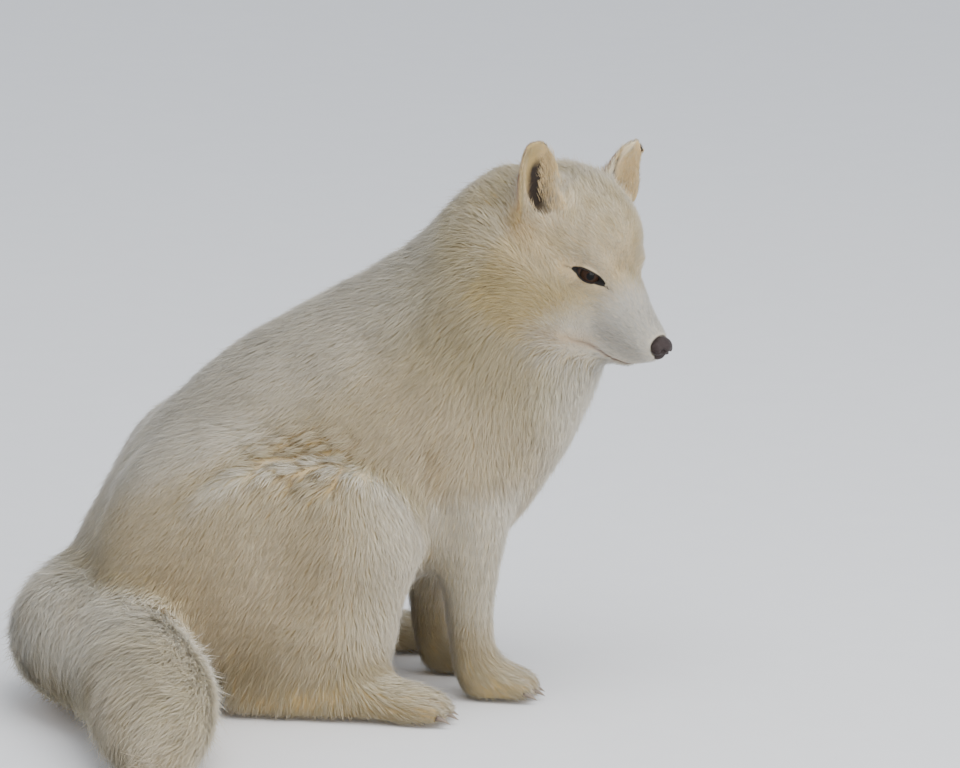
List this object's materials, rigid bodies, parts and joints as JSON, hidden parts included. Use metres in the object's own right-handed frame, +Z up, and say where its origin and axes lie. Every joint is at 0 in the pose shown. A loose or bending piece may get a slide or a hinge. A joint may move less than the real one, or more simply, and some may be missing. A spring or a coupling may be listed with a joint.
{
  "type": "arctic fox",
  "caption": "Life-size arctic fox in its winter coat, sitting upright with its head bowed and turned to its right and its tail laid along the floor.",
  "frame": {"origin": "middle of the bounding box's footprint, on the floor that the feet, seat and tail rest on", "axes": "+X the way the fox's chest faces, +Y the fox's left side, +Z up"},
  "size_m": [0.4254, 0.4186, 0.3638],
  "materials": {
    "coat": "matte",
    "ear_coat": "matte",
    "eye": "gloss",
    "nose_leather": "satin"
  },
  "bodies": {
    "root": {"head": "coat", "lower_jaw": "coat", "nose": "nose_leather", "ear_right": "ear_coat", "ear_left": "ear_coat", "eye_right": "eye", "eye_left": "eye", "neck": "coat", "trunk": "coat", "foreleg_right": "coat", "foreleg_left": "coat", "forepaw_right": "coat", "forepaw_left": "coat", "thigh_right": "coat", "thigh_left": "coat", "hindfoot_right": "coat", "hindfoot_left": "coat", "tail_root": "coat", "tail_middle": "coat", "tail_tip": "coat"}
  },
  "joints": []
}
